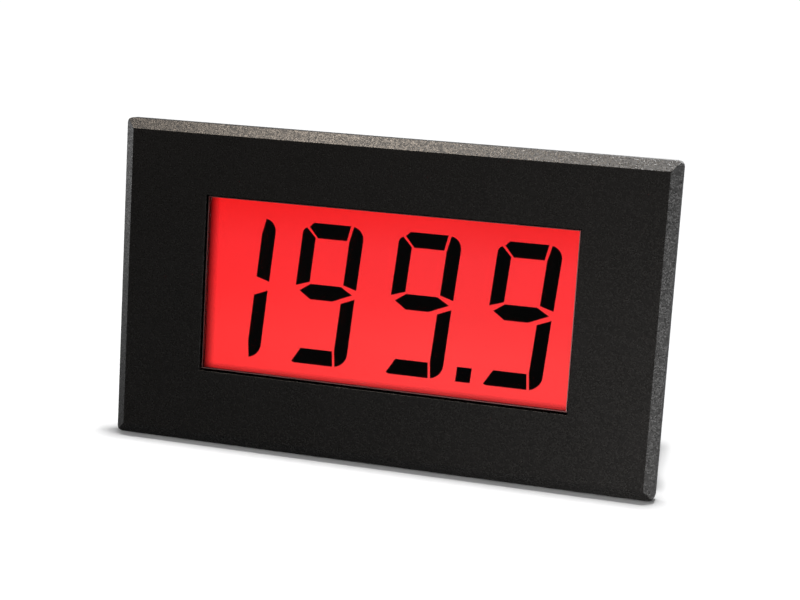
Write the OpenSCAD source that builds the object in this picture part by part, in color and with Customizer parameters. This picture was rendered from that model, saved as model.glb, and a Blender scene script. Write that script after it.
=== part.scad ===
// Digital panel meter with a backlit liquid crystal display.
// The bezel stands in front of the panel and the housing passes through the cutout.
// X runs to the right seen from the front, Y runs from the front into the panel, Z is up.
// The origin is the middle of the bezel's rear face, which lies on the panel.

/* [Bezel] */
// Width of the bezel
bezel_w = 70; // [68:0.5:90]
// Height of the bezel
bezel_h = 40.7; // [40.5:0.1:60]
// Thickness of the bezel in front of the panel
bezel_t = 2.5; // [2:0.1:4]
// Radius of the bezel's four corners
corner_r = 0.75; // [0.5:0.05:1]
// Width of the sloped edge, seen from the front
chamfer_in = 1.28; // [1.1:0.02:1.8]
// Depth of the sloped edge, from front to back
chamfer_deep = 1.0; // [0.4:0.1:1.4]
// Thickness of the front wall round the window
front_wall = 1.8; // [1.2:0.1:2]

/* [Window] */
// Width of the clear window's raised face
window_w = 47.2; // [44:0.1:48]
// Height of the clear window's raised face
window_h = 22.1; // [20:0.1:23]
// Sideways place of the window's centre
window_x = 0.2; // [-1:0.1:1]
// Height of the window's centre
window_z = 0.3; // [-1:0.1:1]
// Gap between the window and its aperture, each side
window_gap = 0.15; // [0.05:0.05:0.3]
// How far the window's face lies below the bezel's face
window_recess = 0.1; // [0:0.05:0.3]
// Thickness of the window's hidden rim
window_rim_t = 1.0; // [0.8:0.1:1.2]

/* [Housing] */
// Width of the housing behind the panel
body_w = 65.6; // [65:0.1:67]
// Height of the housing behind the panel
body_h = 36; // [35.6:0.1:38]
// Depth behind the panel, to the rear cover's outer face
body_depth = 18; // [17.5:0.5:24]
// Radius of the housing's long corners
body_r = 1.5; // [1:0.1:2]
// Wall thickness of the housing
wall = 1.5; // [1.2:0.1:1.6]
// Thickness of the rear cover
cover_t = 1.5; // [1.2:0.1:2]
// Distance of the four cover screws from the middle, sideways
screw_x = 29.3; // [29:0.1:29.4]
// Distance of the four cover screws from the middle, upwards
screw_z = 13.2; // [12.8:0.1:13.4]

/* [Display] */
// Width of both display glasses
glass_w = 52.4; // [51:0.1:52.4]
// Height of the front glass, which carries the contact ledges
front_glass_h = 30; // [29:0.1:30.2]
// Height of the rear glass
rear_glass_h = 25.6; // [25:0.1:25.6]
// Thickness of each glass
glass_t = 1.1; // [0.7:0.1:1.1]
// Thickness of the polarising films
film_t = 0.2; // [0.1:0.05:0.2]
// Thickness of the crystal layer and its edge seal
cell_t = 0.1; // [0.05:0.05:0.1]
// Height of the digits
digit_h = 18; // [15:0.5:18]
// Width of the digits
digit_w = 7.94; // [7:0.1:8]
// Distance between two full digits
digit_pitch = 12.48; // [11.5:0.1:12.5]
// Forward slant of the digits, in degrees
digit_slant = 5; // [0:1:8]
// Width of the upright segments
upright_w = 1.75; // [1.4:0.05:1.9]
// Width of the level segments
level_w = 1.95; // [1.6:0.05:2.1]
// Thickness of the light guide
guide_t = 3; // [2.5:0.1:3.2]

/* [Circuit board] */
// Thickness of the circuit board
board_t = 1.6; // [1.2:0.1:1.6]
// Sideways place of the calibration trimmer
trimmer_x = 19; // [18:0.5:21]
// Height of the calibration trimmer
trimmer_z = 5; // [3:0.5:8]

/* [Terminals] */
// Number of wire terminals
poles = 5; // [2:1:6]
// Distance between two terminals
pole_pitch = 5.08; // [5:0.04:5.2]
// Sideways place of the terminal block
block_x = -7; // [-9:0.5:-5]
// Height of the terminal block
block_z = -3; // [-6:0.5:0]
// Depth of the terminal plug behind the rear cover
plug_out = 11.2; // [11:0.1:13]

/* [Panel clips] */
// Height of the clip's channel in the housing's side
channel_h = 17; // [15:0.5:17]
// Depth of the channel
channel_deep = 1.6; // [1.4:0.1:1.7]
// Pitch of the ratchet teeth
tooth_pitch = 0.9; // [0.8:0.1:1.2]
// Gap between the clip and the panel's seat, as supplied
clip_gap = 2.5; // [2.1:0.1:4]

/* [Hidden] */
$fn = 64;
fit = 0.1;

// Planes of the layers, from the front to the rear
face_y = -bezel_t;
shelf_y = face_y + front_wall;
rim_back_y = shelf_y + window_rim_t;
front_glass_y = rim_back_y + film_t;
cell_y = front_glass_y + glass_t;
rear_glass_y = cell_y + cell_t;
rear_film_y = rear_glass_y + glass_t;
diffuser_y = rear_film_y + film_t;
guide_y = diffuser_y + 0.3;
reflector_y = guide_y + guide_t;
frame_plate_y = reflector_y + film_t;
board_y = frame_plate_y + 1.2;
board_back_y = board_y + board_t;
cover_y = body_depth - cover_t;

// Housing
boss_r = 2.2;
pilot_r = 1.15;
cover_hole_r = 1.3;
head_r = 2.0;
head_h = 1.5;
sink_r = 2.25;
sink_deep = 1.8;
recess_h = 5;
channel_mouth_h = channel_h - 2;
channel_floor_x = body_w / 2 - channel_deep;
channel_lip_t = 0.7;
channel_start_y = 0.5;
tooth_len = 5;
tooth_deep = 0.35;
clip_len = 11;
clip_foot_out = 1.5;
clip_foot_t = 1.8;
clip_relief = 0.8;
gusset_t = 1.2;
rib_r = 0.6;
rib_out = 0.2;
rib_len = 9;

// Display
lens_edge = 0.15;
frame_w = 54.4;
frame_h = 32.2;
guide_w = 49.2;
guide_h = 23.6;
strip_w = 50;
strip_h = 2;
strip_z = rear_glass_h / 2 + 0.1 + strip_h / 2;
led_w = 1.7;
led_h = 3;
led_z = 5.5;
slant_run = tan(digit_slant);
half_w = digit_w / 2;
half_h = digit_h / 2;
in_x = half_w - upright_w;
in_z = half_h - level_w;
mid_z = 0.25;
segment_gap = 0.33;
last_digit_x = 16.8;
one_pitch = digit_pitch - 0.95;

trimmer_w = 9.5;

// Terminals
block_w = poles * pole_pitch;
header_wall = 1.1;
header_w = block_w + 2 * header_wall + 2 * fit;
header_h = 11;
header_floor = 1.6;
pin_w = 1;
pin_z = -0.05;
contact_t = 0.3;
plug_low = -4.6;
plug_high = 6.4;
plug_nose_h = 8.6;
plug_back_y = body_depth + plug_out;
clamp_y = body_depth + 5.9;
clamp_w = 4;
clamp_len = 4.4;
clamp_open_z = -3.4;
clamp_sheet = 0.6;
clamp_nut_z = 0.5;
clamp_nut_t = 0.9;
bar_low = -0.4;
bar_high = 0.3;
bar_w = 2.4;
shoulder_z = 4.5;
screw_head_r = 1.9;
screw_head_h = 1.3;
screw_core_r = 1.4;
thread_fit = 0.05;
funnel_in = 0.6;
funnel_deep = 0.8;
key_w = 1;
key_out = 0.6;

// ---------- shared shapes ----------

// A prism whose outline lies in the X-Z plane, from y0 to y1
module along_y(y0, y1) {
    translate([0, y1, 0])
        rotate([90, 0, 0])
            linear_extrude(y1 - y0)
                children();
}

// A round rod along Y, centred on the origin
module rod_y(r, y0, y1) {
    translate([0, y1, 0])
        rotate([90, 0, 0])
            cylinder(r = r, h = y1 - y0);
}

// A box given by its sizes along X and Z and its two Y planes
module slab(w, h, y0, y1) {
    translate([-w / 2, y0, -h / 2])
        cube([w, y1 - y0, h]);
}

// A slab whose four front edges are sloped: two crossed prisms, each with one pair of slopes
module sloped_slab(w, h, y0, y1, slope_in, slope_deep) {
    intersection() {
        linear_extrude(h, center = true)
            polygon(sloped_profile(w, y0, y1, slope_in, slope_deep));
        rotate([0, -90, 0])
            linear_extrude(w, center = true)
                polygon(sloped_profile(h, y0, y1, slope_in, slope_deep));
    }
}

function sloped_profile(w, y0, y1, slope_in, slope_deep) = [
    [-w / 2, y1], [-w / 2, y0 + slope_deep], [-w / 2 + slope_in, y0],
    [w / 2 - slope_in, y0], [w / 2, y0 + slope_deep], [w / 2, y1]
];

// A rectangle with true arcs at its corners
module rounded_rect(w, h, r) {
    square([w - 2 * r, h], center = true);
    square([w, h - 2 * r], center = true);
    for (sx = [-1, 1], sz = [-1, 1])
        translate([sx * (w / 2 - r), sz * (h / 2 - r)])
            circle(r);
}

module at_corners(x, z) {
    for (sx = [-1, 1], sz = [-1, 1])
        translate([sx * x, 0, sz * z])
            children();
}

module at_sides() {
    for (side = [0, 1])
        mirror([side, 0, 0])
            children();
}

module at_block() {
    translate([block_x, 0, block_z])
        children();
}

module at_pole(i) {
    translate([block_x + (i - (poles + 1) / 2) * pole_pitch, 0, block_z])
        children();
}

module at_poles() {
    for (i = [1:poles])
        at_pole(i)
            children();
}

// ---------- housing ----------

// The T-shaped channel that a panel clip slides in, on the right side
module channel_cut(y0, y1) {
    translate([channel_floor_x, y0, -channel_h / 2])
        cube([channel_deep - channel_lip_t, y1 - y0, channel_h]);
    translate([channel_floor_x, y0, -channel_mouth_h / 2])
        cube([channel_deep + 1, y1 - y0, channel_mouth_h]);
}

// The housing's outline with the two channels taken out of it, from channel_y rearwards
module housing_shell(y0, y1, channel_y) {
    difference() {
        along_y(y0, y1)
            rounded_rect(body_w, body_h, body_r);
        at_sides()
            channel_cut(channel_y, y1 + 1);
    }
}

// The hollow of the housing, narrowed beside the channels
module housing_hollow(y0, y1, slack = 0) {
    step_x = channel_floor_x - wall - slack;
    difference() {
        slab(body_w - 2 * wall - 2 * slack, body_h - 2 * wall - 2 * slack, y0, y1);
        at_sides()
            translate([step_x, y0 - 1, -channel_h / 2 - wall - slack])
                cube([10, y1 - y0 + 2, channel_h + 2 * wall + 2 * slack]);
    }
}

// One saw tooth, its steep side towards the rear
module ratchet_tooth(height) {
    polygon([[-0.01, 0], [height, tooth_pitch * 0.75], [-0.01, tooth_pitch * 0.75]]);
}

// The flange's slopes meet in mitred corners, trimmed by the small corner arcs
module flange() {
    intersection() {
        sloped_slab(bezel_w, bezel_h, face_y, 0, chamfer_in, chamfer_deep);
        along_y(face_y - 1, 0)
            rounded_rect(bezel_w, bezel_h, corner_r);
    }
}

// Small ribs that centre the housing in the cutout
module centring_ribs() {
    for (side = [-1, 1], i = [-1:1])
        translate([i * body_w * 0.36, 0, side * (body_h / 2 - rib_r + rib_out)])
            rod_y(rib_r, -0.1, rib_len);
}

module front_bezel() {
    tooth_count = floor((cover_y - 2) / tooth_pitch);
    color([0.12, 0.12, 0.12]) {
        difference() {
            union() {
                flange();
                housing_shell(0, cover_y, channel_start_y);
                centring_ribs();
            }
            housing_hollow(shelf_y, cover_y + 1);
            translate([window_x, 0, window_z])
                slab(window_w + 2 * window_gap, window_h + 2 * window_gap, face_y - 1, shelf_y + 1);
        }
        // Bosses that the board rests on and the long screws bite into
        at_corners(screw_x, screw_z)
            difference() {
                rod_y(boss_r, shelf_y, board_y);
                rod_y(pilot_r, shelf_y + 1.9, board_y + 1);
            }
        at_sides()
            for (i = [0:tooth_count - 1])
                translate([channel_floor_x, 1 + i * tooth_pitch, -tooth_len / 2])
                    linear_extrude(tooth_len)
                        ratchet_tooth(tooth_deep);
    }
}

module window_lens() {
    color([0.9, 0.92, 0.93, 0.3]) {
        translate([window_x, 0, window_z])
            sloped_slab(window_w, window_h, face_y + window_recess, shelf_y + 0.1, lens_edge, lens_edge);
        slab(glass_w, front_glass_h, shelf_y, rim_back_y);
    }
}

// ---------- display ----------

module front_polariser() {
    color([0.4, 0.4, 0.42, 0.4])
        slab(glass_w - 1, rear_glass_h - 0.6, rim_back_y, front_glass_y);
}

module lcd_front_glass() {
    color([0.75, 0.85, 0.8, 0.3])
        slab(glass_w, front_glass_h, front_glass_y, cell_y);
}

module lcd_rear_glass() {
    color([0.75, 0.85, 0.8, 0.3])
        slab(glass_w, rear_glass_h, rear_glass_y, rear_film_y);
}

module lcd_edge_seal() {
    color([0.3, 0.25, 0.15])
        difference() {
            slab(glass_w, rear_glass_h, cell_y, rear_glass_y);
            slab(glass_w - 2.4, rear_glass_h - 2.4, cell_y - 1, rear_glass_y + 1);
        }
}

// Points of an arc from angle a0 to a1
function arc(cx, cz, r, a0, a1) = [
    for (i = [0:8])
        let (a = a0 + (a1 - a0) * i / 8)
            [cx + r * cos(a), cz + r * sin(a)]
];

// Leans a point forward by the digit slant
function lean(p) = [p[0] + p[1] * slant_run, p[1]];

module segment(points) {
    polygon([for (p = points) lean(p)]);
}

module segment_top() {
    segment([
        [-in_x + segment_gap, in_z], [in_x - segment_gap, in_z],
        [in_x - 0.07, half_h - 0.05], [-in_x - 0.45, half_h - 0.05], [-in_x - 0.93, half_h - 0.6]
    ]);
}

module segment_upper_left() {
    segment(concat(
        [[-in_x, in_z], [-in_x, mid_z + 1.22], [-half_w, mid_z + 0.65]],
        arc(-half_w + 0.75, half_h - 1.4, 0.75, 180, 112)
    ));
}

// The right segments share one form, with a broad arc at the digit's corner
module segment_upper_right() {
    segment(concat(
        [[half_w, mid_z + 0.7], [in_x, mid_z + 1.22], [in_x, in_z - 0.15]],
        arc(half_w - 1.7, half_h - 1.8, 1.7, 80, 0)
    ));
}

module segment_lower_right() {
    segment(concat(
        [[half_w - 0.05, mid_z - 0.45], [in_x, mid_z - 1.14], [in_x, -in_z + 0.15]],
        arc(half_w - 1.7, -half_h + 1.7, 1.7, -80, 0)
    ));
}

module segment_middle() {
    half_level = level_w / 2;
    segment([
        [-in_x + 0.15, mid_z + half_level], [in_x - 0.32, mid_z + half_level],
        [half_w - 0.45, mid_z + 0.05], [in_x - 1.15, mid_z - half_level],
        [-in_x + 0.38, mid_z - half_level], [-half_w + 0.6, mid_z + 0.05]
    ]);
}

module segment_bottom() {
    segment([
        [-in_x, -in_z], [in_x - segment_gap + 0.05, -in_z], [in_x + 0.02, -half_h],
        [-in_x - 0.6, -half_h], [-in_x - 1, -half_h + 0.15]
    ]);
}

module digit_one() {
    segment_upper_right();
    segment_lower_right();
}

module digit_nine() {
    segment_top();
    segment_upper_left();
    segment_upper_right();
    segment_middle();
    segment_lower_right();
    segment_bottom();
}

module decimal_point() {
    dot = 1.85;
    translate([digit_w * 0.85, -half_h + dot / 2])
        segment([[-dot / 2, -dot / 2], [dot / 2, -dot / 2], [dot / 2, dot / 2], [-dot / 2, dot / 2]]);
}

module lcd_segments() {
    color([0.02, 0.02, 0.02])
        along_y(cell_y, rear_glass_y) {
            for (i = [0:2])
                translate([last_digit_x - i * digit_pitch, 0])
                    digit_nine();
            translate([last_digit_x - 2 * digit_pitch - one_pitch, 0])
                digit_one();
            translate([last_digit_x - digit_pitch - half_h * slant_run, 0])
                decimal_point();
        }
}

module rear_polariser() {
    color([0.5, 0.5, 0.52, 0.5])
        slab(guide_w, guide_h, rear_film_y, diffuser_y);
}

module diffuser_film() {
    color([0.95, 0.3, 0.3])
        slab(guide_w, guide_h, diffuser_y, guide_y);
}

module light_guide() {
    color([0.9, 0.5, 0.5, 0.5])
        slab(guide_w, guide_h, guide_y, reflector_y);
}

module reflector_film() {
    color([0.95, 0.95, 0.95])
        slab(guide_w, guide_h, reflector_y, frame_plate_y);
}

// Side-emitting lamps stand on the board at both ends of the light guide
module backlight_leds() {
    color([0.9, 0.88, 0.85])
        at_corners(guide_w / 2 + led_w / 2, led_z)
            difference() {
                slab(led_w, led_h, guide_y, board_y);
                // Notch that marks the lamp's first lead
                translate([-led_w / 2 - 0.1, board_y - 0.6, led_h / 2 - 0.4])
                    cube([led_w + 0.2, 1, 0.5]);
            }
}

// Layered elastomer strips that carry the signals from the board to the glass ledges
module contact_strips() {
    color([0.85, 0.6, 0.65])
        for (side = [-1, 1])
            translate([0, 0, side * strip_z])
                slab(strip_w, strip_h, cell_y, board_y);
}

module display_frame() {
    color([0.93, 0.93, 0.9])
        difference() {
            slab(frame_w, frame_h, shelf_y, board_y);
            slab(glass_w + fit, front_glass_h + fit, shelf_y - 1, cell_y);
            slab(glass_w + fit, rear_glass_h + fit, cell_y - 1, rear_film_y);
            slab(guide_w, guide_h, rear_film_y - 1, frame_plate_y);
            // Hollow behind the plate for the solder side of the board
            slab(guide_w, guide_h, frame_plate_y + 0.7, board_y + 1);
            at_corners(guide_w / 2 + led_w / 2, led_z)
                slab(led_w + fit, led_h + fit, rear_film_y - 1, board_y + 1);
            for (side = [-1, 1])
                translate([0, 0, side * strip_z])
                    slab(strip_w + fit, strip_h, cell_y - 1, board_y + 1);
            // Corners that clear the housing's screw bosses
            at_corners(screw_x, screw_z)
                rod_y(boss_r + 0.3, shelf_y - 1, board_y + 1);
        }
}

// ---------- circuit board ----------

module circuit_board() {
    color([0.05, 0.35, 0.2])
        difference() {
            housing_hollow_block(board_y, board_back_y);
            at_corners(screw_x, screw_z)
                rod_y(cover_hole_r, board_y - 1, board_back_y + 1);
            at_poles()
                slab(pin_w + 0.2, pin_w + 0.2, board_y - 1, board_back_y + 1);
        }
}

// The largest block that fits the housing's hollow with a small gap all round
module housing_hollow_block(y0, y1) {
    housing_hollow(y0, y1, 0.2);
}

module chip_legs(count, run, reach, x0) {
    for (i = [0:count - 1], side = [-1, 1])
        translate([x0 - run / 2 + (i + 0.5) * run / count, board_back_y, side * reach])
            translate([-0.15, 0, -0.6])
                cube([0.3, 0.25, 1.2]);
}

module converter_chip() {
    color([0.1, 0.1, 0.1])
        translate([trimmer_x - 1, 0, -7])
            slab(9, 6, board_back_y + 0.1, board_back_y + 1.9);
    color([0.8, 0.8, 0.8])
        translate([0, 0, -7])
            chip_legs(12, 8.4, 3.6, trimmer_x - 1);
}

module regulator_chip() {
    color([0.1, 0.1, 0.1])
        translate([-25, 0, 5])
            slab(4.9, 3.9, board_back_y + 0.1, board_back_y + 1.6);
    color([0.8, 0.8, 0.8])
        translate([0, 0, 5])
            chip_legs(4, 4.2, 2.5, -25);
}

module film_capacitors() {
    color([0.75, 0.15, 0.12])
        for (i = [0:2])
            translate([-14 + i * 8.6, 0, 10]) {
                slab(7.2, 3, board_back_y + 0.4, board_back_y + 5.5);
                for (side = [-1, 1])
                    translate([side * 3, 0, 0])
                        slab(1, 3, board_back_y, board_back_y + 0.5);
            }
}

module tantalum_capacitors() {
    color([0.85, 0.65, 0.2])
        for (i = [0:1])
            translate([-25, 0, -2 - i * 5])
                slab(3.5, 2.8, board_back_y, board_back_y + 1.9);
}

module chip_resistors() {
    color([0.12, 0.12, 0.14])
        for (i = [0:5])
            translate([11.5, 0, -12 + i * 2.5])
                slab(2, 1.25, board_back_y, board_back_y + 0.5);
}

module trimmer_body() {
    color([0.1, 0.25, 0.6])
        translate([trimmer_x, 0, trimmer_z])
            difference() {
                slab(trimmer_w, trimmer_w, board_back_y, board_back_y + 4.8);
                rod_y(2.5, board_back_y + 3.2, board_back_y + 6);
                // Corner cuts under the case that let the solder flux out
                at_corners(trimmer_w / 2, trimmer_w / 2)
                    slab(2, 2, board_back_y - 1, board_back_y + 0.5);
            }
}

module trimmer_rotor() {
    top = board_back_y + 4.6;
    color([0.9, 0.88, 0.8])
        translate([trimmer_x, 0, trimmer_z])
            difference() {
                rod_y(2.45, board_back_y + 3.2, top);
                slab(3.6, 0.7, top - 0.8, top + 1);
                slab(0.7, 3.6, top - 0.8, top + 1);
            }
}

// ---------- terminals ----------

module terminal_header() {
    color([0.1, 0.45, 0.25])
        at_block()
            difference() {
                slab(header_w, header_h, board_back_y, body_depth);
                slab(header_w - 2 * header_wall, plug_nose_h, board_back_y + header_floor, body_depth + 1);
                for (i = [1:poles])
                    translate([(i - (poles + 1) / 2) * pole_pitch, 0, 0]) {
                        translate([0, 0, pin_z])
                            slab(pin_w, pin_w, board_back_y - 1, board_back_y + header_floor + 1);
                        key_rib(0.1);
                    }
            }
}

module header_pins() {
    color([0.8, 0.78, 0.7])
        at_poles()
            translate([0, 0, pin_z])
                slab(pin_w, pin_w, board_y - 0.4, body_depth - 1.6);
}

// The hollow of one terminal inside the plug
module pole_hollow() {
    nose_y = board_back_y + header_floor;
    fork_end_y = body_depth + 0.2;
    entry_w = 2.9;
    entry_low = clamp_open_z + clamp_sheet;
    entry_h = bar_low - entry_low;
    // Slot for the fork contact, then a tight slot that holds the current bar
    translate([-1.4, nose_y - 1, -1.05])
        cube([2.8, fork_end_y - nose_y + 1, 2]);
    translate([-bar_w / 2, fork_end_y - 1, bar_low])
        cube([bar_w, clamp_y - fork_end_y + 1, bar_high - bar_low]);
    // Well for the wire clamp
    translate([-clamp_w / 2 - fit, clamp_y - clamp_len / 2 - 0.2, clamp_open_z - fit])
        cube([clamp_w + 2 * fit, clamp_len + 0.4, shoulder_z - 0.6 - clamp_open_z + fit]);
    // Wire entry at the rear, with a funnel
    translate([-entry_w / 2, clamp_y, entry_low])
        cube([entry_w, plug_out, entry_h]);
    translate([0, plug_back_y - funnel_deep, entry_low + entry_h / 2])
        sloped_slab(entry_w + 2 * funnel_in, entry_h + 2 * funnel_in, 0, 2, funnel_in, funnel_deep);
    // Shaft of the screw, with a shoulder that carries the head
    translate([0, clamp_y, 0])
        cylinder(r = screw_core_r + 0.15, h = plug_high + 1);
    translate([0, clamp_y, shoulder_z])
        cylinder(r = screw_head_r + 0.1, h = plug_high);
    translate([0, clamp_y, plug_high - 0.3])
        cylinder(r1 = screw_head_r + 0.1, r2 = screw_head_r + 0.5, h = 0.4);
}

// The plug's outline from the side: nose, wire block with a sloped top edge and a finger ledge
module plug_profile() {
    nose_y = board_back_y + header_floor + 0.2;
    step_y = body_depth + 0.2;
    polygon([
        [nose_y, -plug_nose_h / 2], [step_y, -plug_nose_h / 2], [step_y, plug_low],
        [plug_back_y - 0.5, plug_low], [plug_back_y, plug_low + 0.5],
        [plug_back_y, plug_high - 1.6], [plug_back_y - 1.6, plug_high],
        [step_y + 0.5, plug_high], [step_y, plug_high - 0.5],
        [step_y, plug_nose_h / 2], [nose_y, plug_nose_h / 2]
    ]);
}

// Ribs on the nose that key into the header's slots, one for each terminal
module key_rib(grow = 0) {
    nose_y = board_back_y + header_floor + 0.2;
    translate([-key_w / 2 - grow, nose_y - grow, plug_nose_h / 2 - 0.1])
        cube([key_w + 2 * grow, body_depth + 0.3 - nose_y, key_out + 0.1 + grow]);
}

module terminal_plug() {
    color([0.12, 0.5, 0.28])
        difference() {
            union() {
                at_block()
                    rotate([90, 0, 90])
                        linear_extrude(block_w, center = true)
                            plug_profile();
                at_poles()
                    key_rib();
            }
            at_poles()
                pole_hollow();
            // Parting grooves between the terminals
            for (i = [1:poles - 1])
                translate([pole_pitch / 2, 0, 0])
                    at_pole(i) {
                        translate([-0.2, plug_back_y - 0.3, plug_low - 1])
                            cube([0.4, 1, plug_high - plug_low + 2]);
                        translate([-0.2, body_depth + 1.5, plug_high - 0.3])
                            cube([0.4, plug_out, 1]);
                    }
        }
}

// A fork that grips the header pin, and the bar that the wire is pressed against
module plug_contacts() {
    nose_y = board_back_y + header_floor + 0.4;
    pin_tip_y = body_depth - 1.6;
    grip_low = pin_z - pin_w / 2;
    grip_high = pin_z + pin_w / 2;
    color([0.78, 0.76, 0.7])
        at_poles() {
            translate([-1, nose_y, grip_high])
                cube([2, pin_tip_y + 1 - nose_y, contact_t]);
            translate([-1, nose_y, grip_low - contact_t])
                cube([2, pin_tip_y + 1 - nose_y, contact_t]);
            translate([-1, pin_tip_y + 0.4, grip_low])
                cube([2, 0.6, pin_w]);
            translate([-bar_w / 2, pin_tip_y + 1, bar_low])
                cube([bar_w, clamp_y + clamp_len / 2 + 0.1 - pin_tip_y - 1, bar_high - bar_low]);
        }
}

// A sheet-metal cage with a threaded bridge: the screw draws it up against the bar
module wire_clamp(i) {
    color([0.75, 0.72, 0.6])
        at_pole(i)
            difference() {
                translate([-clamp_w / 2, clamp_y - clamp_len / 2, clamp_open_z])
                    cube([clamp_w, clamp_len, clamp_nut_z + clamp_nut_t - clamp_open_z]);
                translate([-clamp_w / 2 + clamp_sheet, clamp_y - clamp_len, clamp_open_z + clamp_sheet])
                    cube([clamp_w - 2 * clamp_sheet, 2 * clamp_len, clamp_nut_z - clamp_open_z - clamp_sheet]);
                translate([0, clamp_y, 0])
                    cylinder(r = screw_core_r + thread_fit, h = clamp_nut_z + clamp_nut_t + 1);
            }
}

module terminal_screw(i) {
    color([0.8, 0.8, 0.78])
        at_pole(i)
            translate([0, clamp_y, 0])
                difference() {
                    union() {
                        translate([0, 0, bar_high + 0.05])
                            cylinder(r = screw_core_r, h = shoulder_z - bar_high);
                        translate([0, 0, shoulder_z])
                            cylinder(r = screw_head_r, h = screw_head_h);
                    }
                    translate([-3, -0.3, shoulder_z + 0.5])
                        cube([6, 0.6, 2]);
                }
}

// ---------- rear cover ----------

module rear_cover() {
    lip_y = cover_y - 1.6;
    color([0.13, 0.13, 0.13])
        difference() {
            union() {
                housing_shell(cover_y, body_depth, cover_y - 1);
                difference() {
                    housing_hollow(lip_y, cover_y, fit);
                    housing_hollow(lip_y - 1, cover_y + 1, 1.2);
                }
                at_corners(screw_x, screw_z)
                    rod_y(boss_r - 0.2, board_back_y, cover_y + 0.1);
            }
            at_corners(screw_x, screw_z) {
                rod_y(cover_hole_r, board_back_y - 1, body_depth + 1);
                rod_y(sink_r, body_depth - sink_deep, body_depth + 1);
            }
            translate([trimmer_x, 0, trimmer_z]) {
                rod_y(2.1, cover_y - 3, body_depth + 1);
                // Countersink that leads the screwdriver in
                translate([0, body_depth + 0.01, 0])
                    rotate([90, 0, 0])
                        cylinder(r1 = 2.9, r2 = 2.1, h = 0.8);
            }
            // Moulded recess above the terminals
            translate([block_x, 0, block_z + header_h / 2 + recess_h / 2 + 2.2])
                slab(header_w, recess_h, body_depth - 0.4, body_depth + 1);
            at_block()
                slab(header_w + 0.3, header_h + 0.3, cover_y - 3, body_depth + 1);
        }
}

module cover_screws() {
    head_y = body_depth - sink_deep;
    color([0.7, 0.7, 0.72])
        at_corners(screw_x, screw_z)
            difference() {
                union() {
                    rod_y(pilot_r - 0.05, shelf_y + 2.2, head_y + 0.1);
                    rod_y(head_r, head_y, head_y + head_h);
                }
                slab(2.4, 0.6, head_y + 0.8, head_y + 3);
                slab(0.6, 2.4, head_y + 0.8, head_y + 3);
            }
}

// ---------- panel clips ----------

// The tongue's teeth, seen along Z; they point at the channel's floor
module pawl_teeth() {
    for (i = [0:2])
        translate([clip_relief, (i + 0.75) * tooth_pitch])
            mirror([1, 0])
                mirror([0, 1])
                    ratchet_tooth(tooth_deep - 0.05);
}

// Outline of the foot's gussets, which run out to nothing towards the rear
module gusset_profile() {
    run_out = clip_len * 0.62;
    polygon([
        [-0.2, 0], [clip_foot_out, 0], [clip_foot_out, clip_foot_t],
        [0, run_out], [-0.2, run_out]
    ]);
}

// A slide that rides in the side channel, and whose foot presses on the panel's rear
module panel_clip() {
    under_lip = channel_deep - channel_lip_t - 0.05;
    mouth_h = channel_mouth_h - 0.3;
    tongue_y = clip_len * 0.3;
    color([0.14, 0.14, 0.14])
        translate([channel_floor_x, clip_gap, 0]) {
            difference() {
                union() {
                    translate([0.1, 0, -channel_h / 2 + 0.15])
                        cube([under_lip - 0.1, clip_len, channel_h - 0.3]);
                    translate([0.1, 0, -mouth_h / 2])
                        cube([channel_deep - 0.2, clip_len, mouth_h]);
                    // Foot, stiffened by gussets at its ends
                    translate([channel_deep - 0.2, 0, -mouth_h / 2])
                        cube([clip_foot_out + 0.2, clip_foot_t, mouth_h]);
                    for (z = [-mouth_h / 2, mouth_h / 2 - gusset_t])
                        translate([channel_deep, 0, z])
                            linear_extrude(gusset_t)
                                gusset_profile();
                    // Ridges that a finger pulls the slide by
                    for (i = [0:2])
                        translate([channel_deep - 0.3, clip_len - 0.9 - i * 1.3, -mouth_h / 2 + 1])
                            cube([0.55, 0.6, mouth_h - 2]);
                }
                // Room for the ratchet ladder
                translate([-1, -1, -tooth_len / 2 - 0.2])
                    cube([1 + clip_relief, clip_len + 2, tooth_len + 0.4]);
                // Slots that free the tongue on three sides
                for (z = [-tooth_len / 2 - 0.2, tooth_len / 2 - 0.4])
                    translate([-1, tongue_y, z])
                        cube([channel_deep + 3, clip_len * 0.5, 0.6]);
                translate([-1, tongue_y, -tooth_len / 2])
                    cube([channel_deep + 3, 0.6, tooth_len]);
            }
            translate([0, tongue_y + 0.6, -tooth_len / 2 + 0.6])
                linear_extrude(tooth_len - 1.2)
                    pawl_teeth();
        }
}

module left_panel_clip() {
    mirror([1, 0, 0])
        panel_clip();
}

module right_panel_clip() {
    panel_clip();
}

front_bezel();
window_lens();
front_polariser();
lcd_front_glass();
lcd_segments();
lcd_edge_seal();
lcd_rear_glass();
rear_polariser();
diffuser_film();
light_guide();
reflector_film();
backlight_leds();
contact_strips();
display_frame();
circuit_board();
converter_chip();
regulator_chip();
film_capacitors();
tantalum_capacitors();
chip_resistors();
trimmer_body();
trimmer_rotor();
terminal_header();
header_pins();
terminal_plug();
plug_contacts();
wire_clamp(1);  // wire_clamp_1
wire_clamp(2);  // wire_clamp_2
wire_clamp(3);  // wire_clamp_3
wire_clamp(4);  // wire_clamp_4
wire_clamp(5);  // wire_clamp_5
terminal_screw(1);  // terminal_screw_1
terminal_screw(2);  // terminal_screw_2
terminal_screw(3);  // terminal_screw_3
terminal_screw(4);  // terminal_screw_4
terminal_screw(5);  // terminal_screw_5
rear_cover();
cover_screws();
left_panel_clip();
right_panel_clip();
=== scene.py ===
"""Dresses the digital panel meter: finishes, edge rounding, studio and camera."""

import logging
import math
from dataclasses import dataclass, field, replace
from enum import Enum
from typing import Protocol

import bmesh
import bpy
from mathutils import Matrix, Vector


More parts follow.
